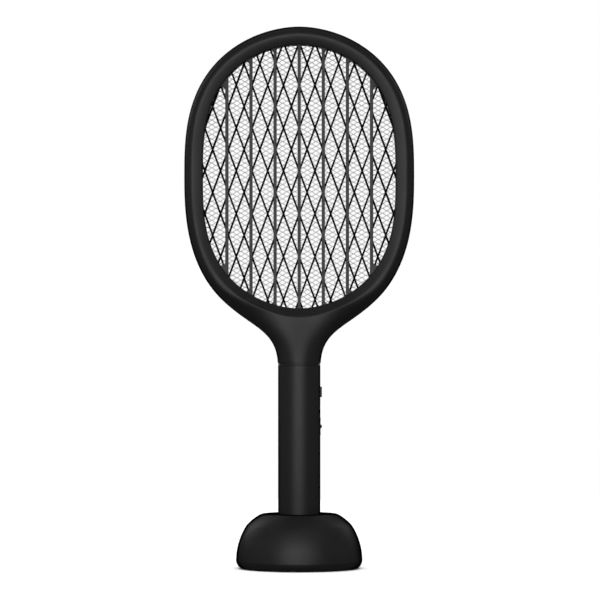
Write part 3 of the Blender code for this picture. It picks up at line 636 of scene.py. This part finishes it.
def half_skin(side):
    """The right half of one shell's outside, with a skirt past the middle plane."""
    bm = bmesh.new()
    rows, skirts = [], []
    for angle, outer in head_stations(*STATIONS):
        line = []
        for offset in SLOPE:
            place = egg_point(OPENING, angle, offset)
            short = 1 - min(1.0, offset / LIP_ROUNDING)
            rounding = LIP_ROUNDING * (1 - math.sqrt(1 - short * short))
            line.append((place, shell_height(place, offset, angle) - rounding))
        ridge = egg_point(OPENING, angle, RIDGE_OFFSET)
        for share in ACROSS:
            place = outer.lerp(ridge, 1 - math.cos(math.pi / 2 * share))
            line.append((place, shell_height(place, distance_to(place, OPENING_LINE), angle)))
        if angle in (math.pi / 2, -math.pi / 2):
            for place, _ in line:
                place.x = 0
        rows.append([bm.verts.new((p.x, side * h, p.y)) for p, h in line])
        has_skirt = angle >= corner_angle()
        skirts.append(bm.verts.new((outer.x, -side * SKIRT, outer.y)) if has_skirt else None)
    for i in range(len(rows) - 1):
        upper, lower = rows[i], rows[i + 1]
        if skirts[i + 1]:
            upper, lower = upper + [skirts[i]], lower + [skirts[i + 1]]
        for k in range(len(upper) - 1):
            corners = (upper[k], upper[k + 1], lower[k + 1], lower[k])
            bm.faces.new(corners if side > 0 else corners[::-1])
    for vert in [v for v in bm.verts if not v.link_faces]:
        bm.verts.remove(vert)
    return mesh_from(bm)


def head_shell(side):
    obj = bpy.data.objects.new("skin", half_skin(side))
    mirror = obj.modifiers.new("mirror", "MIRROR")
    mirror.merge_threshold = MERGE
    solidify = obj.modifiers.new("solidify", "SOLIDIFY")
    solidify.thickness = SHELL_WALL
    solidify.offset = -1
    mesh = evaluated_mesh(obj)
    low, high = sorted((side * SPLIT, -side * HEAD_BLOCK["depth"]))
    half = HEAD_BLOCK["half_width"]
    tools = [boxes(((-half, low, HEAD_BLOCK["bottom"]), (half, high, HEAD_BLOCK["top"])))]
    if side > 0:
        places = [middle(f"head_screw_{i}") for i in range(1, 5)]
        start, end, radius = SCREW_POCKET
        tools.append(rods(*[((p.x, start, p.z), (p.x, end, p.z), radius) for p in places]))
    mesh = cut(mesh, *tools)
    name = "head_rear_shell" if side > 0 else "head_front_shell"
    return piece(f"{name}_moulded", mesh, "black_plastic", name, smooth=28)


def inside_opening(x, z, offset):
    height, p, q = OPENING["up"] if z > HEAD_MIDDLE else OPENING["down"]
    across = abs(x) / (OPENING["half_width"] + offset)
    return across**p + (abs(z - HEAD_MIDDLE) / (height + offset)) ** q < 1


def corner_on_hoop(edge, side, up):
    """The arc that joins a rib's upright edge to the hoop, and the angle where it meets the hoop.

    side is +1 where the gap lies to the right of the edge. up is +1 at the top of the head.
    """
    angles = [up * math.pi * i / 360 for i in range(361)]
    hoop = [egg_point(OPENING, a, HOOP_INNER) for a in angles]

    def nearest(centre):
        return min(range(len(hoop)), key=lambda i: (hoop[i] - centre).length)

    x = edge + side * RIB_FLARE
    near, far = HEAD_MIDDLE, HEAD_MIDDLE + up * 140
    for _ in range(30):
        z = (near + far) / 2
        centre = Vector((x, z))
        if inside_opening(x, z, HOOP_INNER) and (hoop[nearest(centre)] - centre).length > RIB_FLARE:
            near = z
        else:
            far = z
    touch = nearest(centre)
    toward = hoop[touch] - centre
    end = math.atan2(toward.y, toward.x)
    start = math.pi if side > 0 else 0.0
    turn = (end - start + math.pi) % (2 * math.pi) - math.pi
    return arc(centre, RIB_FLARE, start, start + turn, 8), angles[touch]


def rib_gap(left, right):
    """The space between two upright edges, with flared corners. An edge of None is the hoop."""
    loop = []
    for up in (1, -1):
        if left is None:
            start_arc, start = [], up * math.pi
        else:
            start_arc, start = corner_on_hoop(left, 1, up)
        if right is None:
            end_arc, end = [], 0.0
        else:
            end_arc, end = corner_on_hoop(right, -1, up)
        steps = max(3, int(abs(end - start) / 0.04))
        angles = [start + (end - start) * i / steps for i in range(1, steps)]
        hoop = [egg_point(OPENING, angle, HOOP_INNER) for angle in angles]
        run = start_arc + hoop + end_arc[::-1]
        loop += run if up > 0 else run[::-1]
    return [p for i, p in enumerate(loop) if (p - loop[i - 1]).length > 0.02]


def rib_frame(name, node):
    edges = [k * RIB_PITCH for k in range(-RIBS_EACH_SIDE, RIBS_EACH_SIDE + 1)]
    gaps = [rib_gap(None, edges[0] - RIB_WIDTH / 2)]
    gaps += [rib_gap(a + RIB_WIDTH / 2, b - RIB_WIDTH / 2) for a, b in zip(edges, edges[1:])]
    gaps.append(rib_gap(edges[-1] + RIB_WIDTH / 2, None))
    low, high = box(node)
    mesh = plate([egg_loop(OPENING, HOOP_OUTER), *gaps], low.y, high.y, along_y=True, soften=0.35)
    return piece(name, mesh, "rib_plastic", node, smooth=50)


def diamond_net(name, node):
    """Two families of slanting wires, woven over and under each other."""
    across, up = DIAMOND
    y = middle(node).y
    paths = []
    for lean in (-1, 1):
        for start in range(-NET_LINES, NET_LINES + 1, 2):
            path = []
            for step in range(-NET_REACH * WEAVE_STEPS, NET_REACH * WEAVE_STEPS + 1):
                s = step / WEAVE_STEPS
                x = (start + s) * across
                z = DIAMOND_CROSSING + lean * s * up
                if inside_opening(x, z, UNDER_LIP):
                    weave = lean * NET_WEAVE * math.cos(math.pi * s)
                    path.append((x, y + weave, z))
            if len(path) > 2:
                paths.append(path)
    hoop = [(p.x, y, p.y) for p in egg_loop(OPENING, UNDER_LIP, 120)]
    paths.append(hoop + hoop[:1])
    mesh = wires(paths, NET_RADIUS, 2)
    flatten = Matrix.Scale((NET_DEPTH + NET_WEAVE) / (NET_RADIUS + NET_WEAVE), 4, (0, 1, 0))
    mesh.transform(Matrix.Translation((0, y, 0)) @ flatten @ Matrix.Translation((0, -y, 0)))
    return piece(name, mesh, "net_black", node, smooth=80)


def fine_mesh(name, node):
    """Expanded foil: wavy strands, each joined to the next at its knuckles."""
    width, height = CELL
    pitch = height / 2
    swing = pitch / 2 - STRAND * 0.5
    rows = int(FOIL_HALF_HEIGHT / pitch)
    paths = []
    for row in range(-rows, rows + 1):
        flip = 1 if row % 2 else -1
        path = []
        for k in range(-FOIL_HALF_CELLS, FOIL_HALF_CELLS + 1):
            for knuckle in (-KNUCKLE, KNUCKLE):
                x = k * width / 2 + knuckle
                z = HEAD_MIDDLE + row * pitch + flip * swing * (1 if k % 2 else -1)
                if inside_opening(x, z, UNDER_LIP):
                    path.append((x, 0.0, z))
        if len(path) > 2:
            paths.append(path)
    hoop = [(p.x, 0.0, p.y) for p in egg_loop(OPENING, UNDER_LIP, 120)]
    paths.append(hoop + hoop[:1])
    return piece(name, wires(paths, STRAND, 0), "mesh_silver", node, smooth=80)


def spacer(name, node):
    low, high = box(node)
    mesh = plate([egg_loop(OPENING, HOOP_OUTER), egg_loop(OPENING, 0.9)], low.y, high.y, True, 0.3)
    return piece(name, mesh, "inner_plastic", node)


def screw(name, node, axis, sizes):
    """A pan-head screw with a cross recess, in its node's place; axis points out of its head."""
    low, high = box(node)
    length = abs((high - low).dot(Vector(axis)))
    place = middle(node) + Vector(axis) * length / 2
    head_radius, head_height, shaft_radius = sizes
    shaft_length = length - head_height
    profile = [
        (0, 0.0), (head_radius * 0.72, -0.06 * head_height), (head_radius, -0.55 * head_height),
        (head_radius, -head_height), (shaft_radius, -head_height),
        (shaft_radius, -head_height - shaft_length + 0.6), (0, -head_height - shaft_length),
    ]
    mesh = turned(profile, 32, soften=0.15)
    slot, reach, depth = head_radius * 0.14, head_radius * 0.58, head_height * 0.55
    mesh = cut(mesh, boxes(((-reach, -slot, -depth), (reach, slot, 2))),
               boxes(((-slot, -reach, -depth), (slot, reach, 2))))
    turn = Vector(axis).to_track_quat("Z", "X").to_matrix().to_4x4()
    mesh.transform(Matrix.Translation(place) @ turn)
    return piece(name, mesh, "steel", node)


def head():
    for side, name in ((-1, "front"), (1, "rear")):
        head_shell(side)
        rib_frame(f"{name}_rib_guard", f"{name}_rib_frame")
        diamond_net(f"{name}_wire_net", f"{name}_diamond_net")
        spacer(f"{name}_spacer", f"{name}_spacer_ring")
    fine_mesh("charged_mesh", "centre_mesh")
    for i in range(1, 5):
        screw(f"shell_screw_{i}", f"head_screw_{i}", (0, 1, 0), SHELL_SCREW)


# --- Grip -----------------------------------------------------------------------------------------


def grip():
    through_wall = (14, 22)
    button, lens, bezel = middle("power_button"), middle("indicator_lens"), box("mode_knob_bezel")
    half_y, half_z = (half + OPENING_GAP for half in BUTTON_HALF)
    gap = Vector((0, OPENING_GAP, OPENING_GAP))
    bezel_low, bezel_high = bezel[0] - gap, bezel[1] + gap
    openings = (
        softened(block(through_wall, half_y, button.z, half_z), 0.7, 3),
        softened(boxes(((through_wall[0], *bezel_low.yz), (through_wall[1], *bezel_high.yz))), 0.9, 3),
        rods(((through_wall[0], 0, lens.z), (through_wall[1], 0, lens.z), LENS_HOLE)),
    )
    tube = ring_profile(GRIP_RADIUS - GRIP_WALL, GRIP_RADIUS, GRIP_BOTTOM, GRIP_TOP)
    sleeve = turned(tube, 160, soften=0.35)
    piece("handle_grip", cut(sleeve, *openings), "black_plastic", "handle_sleeve")
    push_button()
    switch_bezel()
    slide_knob()
    light_guide()


def push_button():
    """A flat cap with a shallow dish in its face, on a skirt that keeps it in the grip."""
    low, high = box("power_button")
    z = middle("power_button").z
    half_y, half_z = BUTTON_HALF
    cap = softened(block((low.x + 0.4, high.x), half_y, z, half_z), 0.6, 3)
    dish = turned([(0, 0.9), (2.6, 0.55), (3.4, 0.0), (0, 0.0)], 48, soften=0.1)
    dish.transform(
        Matrix.Translation((high.x + 0.05, 0, z)) @ Matrix.Rotation(-math.pi / 2, 4, "Y")
        @ Matrix.Scale(0.5, 4, (0, 0, 1)) @ Matrix.Scale(1.2, 4, (1, 0, 0))
    )
    skirt = softened(boxes((low, (low.x + 0.9, high.y, high.z))), 0.2)
    mesh = cut(cut(cap, dish), skirt, operation="UNION")
    piece("push_button", mesh, "black_plastic", "power_button")


def switch_bezel():
    """A patch of tube that lies flush in the grip, with the slot that the knob slides in."""
    low, high = box("mode_knob_bezel")
    across, reach = (10, 25), 5
    patch = turned(ring_profile(low.x, high.x, low.z, high.z), 256, soften=0.2)
    corners = (across[0], low.y, low.z - reach), (across[1], high.y, high.z + reach)
    mask = softened(boxes(corners), 0.1)
    patch = cut(patch, mask, operation="INTERSECT")
    half_y, half_z = SLIDE_SLOT
    slot = softened(block(across, half_y, middle("mode_knob").z, half_z), 0.5)
    piece("switch_bezel", cut(patch, slot), "black_plastic", "mode_knob_bezel")


def slide_knob():
    """The slide switch's knob: a wedge with three fine ribs, on the block that works the lever."""
    low, high = box("mode_knob")
    z = middle("mode_knob").z
    base_x, crest = GRIP_RADIUS + 0.45, 0.55
    outline = [(14.5, -KNOB_STEM), (base_x, -KNOB_STEM)]
    for k in range(3):
        rise = (k + 1) / 3
        x = base_x + (high.x - base_x) * rise
        y = -KNOB_STEM + (KNOB_STEM - crest) * rise
        outline += [(x - 0.14, y - 0.24), (x, y)]
    outline += [(x, -y) for x, y in outline[::-1]]
    upright = [(x, z + h) for x, h in outline]
    wedge = plate([upright], -KNOB_HALF_DEPTH, KNOB_HALF_DEPTH, along_y=True, soften=0.12)
    carrier = softened(boxes(((13.2, low.y, low.z), (16.2, high.y, high.z))), 0.25)
    knob = cut(wedge, carrier, operation="UNION")
    knob = cut(knob, block((12, 14.5), KNOB_HALF_DEPTH, z, 1.5))
    piece("switch_knob", knob, "black_plastic", "mode_knob")


def light_guide():
    low, high = box("indicator_lens")
    profile = [(0, high.x), (0.9, high.x - 0.06), (1.6, high.x - 0.35), (1.6, low.x), (0, low.x)]
    mesh = turned(profile, 40, soften=0.15)
    place = Matrix.Translation((0, 0, middle("indicator_lens").z))
    mesh.transform(place @ Matrix.Rotation(math.pi / 2, 4, "Y"))
    piece("light_guide", mesh, "lens_clear", "indicator_lens")


def grip_end():
    low, high = box("handle_end_cap")
    flange_top, floor_top, recess = low.z + 1.2, low.z + 2.9, low.z + 1.8
    below, above = 10, 30
    mesh = turned([
        (0, floor_top), (CAP_BORE, floor_top), (CAP_BORE, high.z), (CAP_PLUG, high.z),
        (CAP_PLUG, flange_top), (GRIP_RADIUS, flange_top), (GRIP_RADIUS, low.z), (0, low.z),
    ], 128, soften=0.4)
    pads = [middle("left_charge_pad"), middle("right_charge_pad")]
    screws = [middle("end_cap_screw_1"), middle("end_cap_screw_2")]
    mesh = cut(mesh, upright_rods(pads, below, recess, 3.3), upright_rods(screws, below, recess, 2.5),
               upright_rods(screws, below, above, 1.3, segments=24))
    piece("grip_end_cap", mesh, "black_plastic", "handle_end_cap")
    for side in ("left", "right"):
        low, high = box(f"{side}_charge_pad")
        centre = middle(f"{side}_charge_pad")
        dish = low.z + 0.18
        profile = [(0, high.z), (3.0, high.z), (3.0, low.z), (1.7, low.z), (1.4, dish), (0, dish)]
        mesh = turned(profile, 48, (centre.x, centre.y), 0.12)
        piece(f"{side}_contact_pad", mesh, "contact", f"{side}_charge_pad")
    for i in (1, 2):
        screw(f"cap_screw_{i}", f"end_cap_screw_{i}", (0, 0, -1), CAP_SCREW)


# --- Base -----------------------------------------------------------------------------------------


def dome(inset):
    across, up, top = BASE_RADIUS - inset, BASE_CURVE - inset, BASE_TOP - inset
    shoulder = SHOULDER - inset

    def radius(z):
        return across * math.sqrt(1 - ((z - BASE_CREASE) / up) ** 2)

    start = Vector((radius(shoulder), shoulder))
    run = (Vector((radius(shoulder + 0.01), shoulder + 0.01)) - start).normalized()
    end = Vector((BASE_FLAT, top))
    across_pull, up_pull = SHOULDER_PULLS
    curve = bezier((end, end + Vector((across_pull, 0)), start + run * up_pull, start), 16)
    low = math.asin((shoulder - BASE_CREASE) / up)
    return curve + arc((0, BASE_CREASE), (across, up), low, 0, 26)[1:]


def base():
    base_dome()
    docking_socket()
    base_underside()
    for i in range(1, 5):
        screw(f"underside_screw_{i}", f"base_screw_{i}", (0, 0, -1), BASE_SCREW)
        foot_pad(i)


def base_dome():
    """The turned housing, open below, with a hole for the cup and a slot for the inlet."""
    turn_up = (BASE_CREASE - UNDERSIDE) / (1 - math.sin(TURN_ANGLE))
    lower = arc((BASE_RADIUS - TURN_INSET, UNDERSIDE + turn_up),
                (TURN_INSET / math.cos(TURN_ANGLE), turn_up), -TURN_ANGLE, -math.pi / 2, 12)
    profile = [
        (BASE_HOLE, BASE_TOP), *dome(0), *lower[1:], (SKIRT_INNER, UNDERSIDE), (SKIRT_INNER, SKIRT_TOP),
        *dome(BASE_WALL)[::-1], (BASE_HOLE, BASE_TOP - BASE_WALL),
    ]
    z = middle("usb_c_port").z
    slot = softened(boxes(((-5.4, 45, z - 2.2), (5.4, 60, z + 2.2))), 1.9, 5)
    mesh = cut(turned(profile, 192, soften=0.6), slot)
    piece("base_dome", mesh, "base_plastic_soft_edge_shade", "base_housing", smooth=8)


def docking_socket():
    low, high = box("docking_cup")
    floor = low.z + 2.5
    pins = [Vector((middle(f"{side}_charge_pin").x, 0)) for side in ("left", "right")]
    profile = [(0, floor), (CUP_BORE, floor), (CUP_BORE, high.z), (high.x, high.z), (high.x, low.z),
               (0, low.z)]
    mesh = cut(turned(profile, 128, soften=0.5), upright_rods(pins, 10, 20, 1.2, segments=32))
    piece("docking_socket", mesh, "inner_plastic", "docking_cup")


def base_underside():
    """The bottom plate, with a groove for the feet, a shallow ring and sunk screws."""
    low = box("base_bottom_plate")[0]
    top, groove, ring = 3.1, UNDERSIDE + 0.6, low.z + 0.5
    inner, outer = FOOT_GROOVE
    profile = [
        (0, top), (PLATE_RADIUS, top), (PLATE_RADIUS, low.z), (outer, low.z), (outer, groove),
        (inner, groove), (inner, low.z), (30.0, low.z), (29.4, ring), (28.8, ring), (28.2, low.z),
        (0, low.z),
    ]
    screws = [middle(f"base_screw_{i}") for i in range(1, 5)]
    mesh = cut(turned(profile, 160, soften=0.25), upright_rods(screws, 0, 2.5, 2.7),
               upright_rods(screws, 0, 5, 1.4, segments=24))
    piece("base_underside", mesh, "black_plastic", "base_bottom_plate")


def foot_pad(i):
    """An arc of rubber with rounded corners, one to each quarter."""
    facing = math.pi / 4 + math.pi / 2 * (i - 1)
    ends = (facing - FOOT_SPREAD, facing + FOOT_SPREAD)
    inner, outer = FOOT
    loop = arc((0, 0), outer, *ends, 28) + arc((0, 0), inner, *ends[::-1], 28)
    low, high = box(f"rubber_foot_{i}")
    mesh = plate([rounded(loop, 2.2, True, 6)], low.z, high.z, soften=0.35)
    piece(f"foot_pad_{i}", mesh, "rubber", f"rubber_foot_{i}", smooth=50)


def usb_inlet():
    low, high = box("usb_c_port")
    z = middle("usb_c_port").z
    half_width, half_height, wall = (high.x - low.x) / 2, (high.z - low.z) / 2, 0.35

    def slot_shape(across, up, start, end):
        loop = arc((across - up, z), up, -math.pi / 2, math.pi / 2, 12)
        loop += arc((up - across, z), up, math.pi / 2, 3 * math.pi / 2, 12)
        return plate([loop], start, end, along_y=True, soften=0.05)

    mesh = cut(slot_shape(half_width, half_height, low.y, high.y),
               slot_shape(half_width - wall, half_height - wall, low.y + 1.5, high.y + 4))
    tongue = softened(boxes(((-3.2, low.y + 1, z - 0.35), (3.2, high.y - 1.2, z + 0.35))), 0.15)
    piece("usb_inlet", cut(mesh, tongue, operation="UNION"), "steel", "usb_c_port")


def sprung_pins():
    for side in ("left", "right"):
        low, high = box(f"{side}_charge_pin")
        x, shoulder = middle(f"{side}_charge_pin").x, low.z + 2.4
        profile = [
            (0, high.z), (0.45, high.z - 0.08), (0.8, high.z - 0.35), (0.9, high.z - 0.7),
            (0.9, shoulder), (1.05, shoulder), (1.05, low.z), (0, low.z),
        ]
        mesh = turned(profile, 40, (x, 0), 0.1)
        piece(f"{side}_sprung_pin", mesh, "contact", f"{side}_charge_pin")


# --- Inside pieces that stay as the CAD made them ---------------------------------------------------


def dress_cad_nodes():
    """Gives every CAD node its slot's procedural material, as the record names it."""
    for part in frame["record"]["subparts"]:
        node = frame["nodes"][part["node"]]
        node.data.materials.clear()
        node.data.materials.append(LOOKS[part["material_slot"]])


# --- Camera, lights and floor -----------------------------------------------------------------------


# Name, place, target, width and height, and power in watts.
LIGHTS = (
    ("front_soft", (-0.14, -1.9, 0.6), (0, 0, 0.3), (1.95, 1.2), 13.1),
    ("front_low", (-0.18, -1.8, 0.2), (0, 0, 0.15), (1.4, 0.4), 3.9),
    ("left_fill", (-1.8, -0.4, 0.5), (0, 0, 0.25), (1.6, 1.4), 1.7),
    ("right_fill", (1.8, -0.4, 0.5), (0, 0, 0.25), (1.6, 1.4), 1.3),
    ("rear_soft", (-0.3, 1.9, 0.6), (0, 0, 0.3), (1.6, 1.2), 7.0),
    ("rear_left", (-1.2, 1.35, 0.95), (0, 0, 0.2), (0.5, 0.7), 2.6),
    ("rear_right", (1.2, 1.35, 0.95), (0, 0, 0.2), (0.5, 0.7), 1.6),
)
WASH = ("above", (0, 0, 2.6), (0, 0, 0), (5, 5), 180)
AMBIENT, BACKDROP, FLOOR_HALF = 0.085, 1.0, 1.2


def area_light(name, place, target, size, power):
    light = bpy.data.lights.new(name, "AREA")
    light.shape = "RECTANGLE"
    light.size, light.size_y = size
    light.energy = power
    obj = bpy.data.objects.new(name, light)
    obj.location = place
    obj.rotation_euler = (Vector(target) - Vector(place)).to_track_quat("-Z", "Y").to_euler()
    bpy.context.scene.collection.objects.link(obj)
    return obj


def floor():
    """A pale floor that doesn't light or show in the object, so its underside stays dark."""
    bm = bmesh.new()
    bmesh.ops.create_grid(bm, x_segments=1, y_segments=1, size=FLOOR_HALF)
    obj = bpy.data.objects.new("floor", mesh_from(bm))
    obj.data.materials.append(pale_floor("pale_floor"))
    obj.visible_diffuse = False
    obj.visible_glossy = False
    bpy.context.scene.collection.objects.link(obj)


def surroundings():
    """White behind the object, but only dim light on it from all sides."""
    world = bpy.data.worlds.new("studio")
    bpy.context.scene.world = world
    world.use_nodes = True
    tree = world.node_tree
    ambient, backdrop = tree.nodes["Background"], tree.nodes.new("ShaderNodeBackground")
    for node, strength in ((ambient, AMBIENT), (backdrop, BACKDROP)):
        node.inputs["Color"].default_value = (1, 1, 1, 1)
        node.inputs["Strength"].default_value = strength
    seen = tree.nodes.new("ShaderNodeLightPath")
    choose = tree.nodes.new("ShaderNodeMixShader")
    tree.links.new(seen.outputs["Is Camera Ray"], choose.inputs["Fac"])
    tree.links.new(ambient.outputs["Background"], choose.inputs[1])
    tree.links.new(backdrop.outputs["Background"], choose.inputs[2])
    tree.links.new(choose.outputs["Shader"], tree.nodes["World Output"].inputs["Surface"])


def studio():
    floor()
    for light in LIGHTS:
        area_light(*light)
    area_light(*WASH).visible_glossy = False
    surroundings()
    bpy.context.scene.view_settings.view_transform = "Standard"


def camera():
    data = bpy.data.cameras.new("camera")
    data.sensor_width = 36
    data.lens = 233.3
    data.clip_end = 50
    obj = bpy.data.objects.new("camera", data)
    obj.location = (0.0007, -3.5, 0.2415)
    obj.rotation_euler = (math.pi / 2, 0, 0)
    bpy.context.scene.collection.objects.link(obj)
    bpy.context.scene.camera = obj


camera()
dress_cad_nodes()
head()
grip()
grip_end()
base()
usb_inlet()
sprung_pins()
studio()
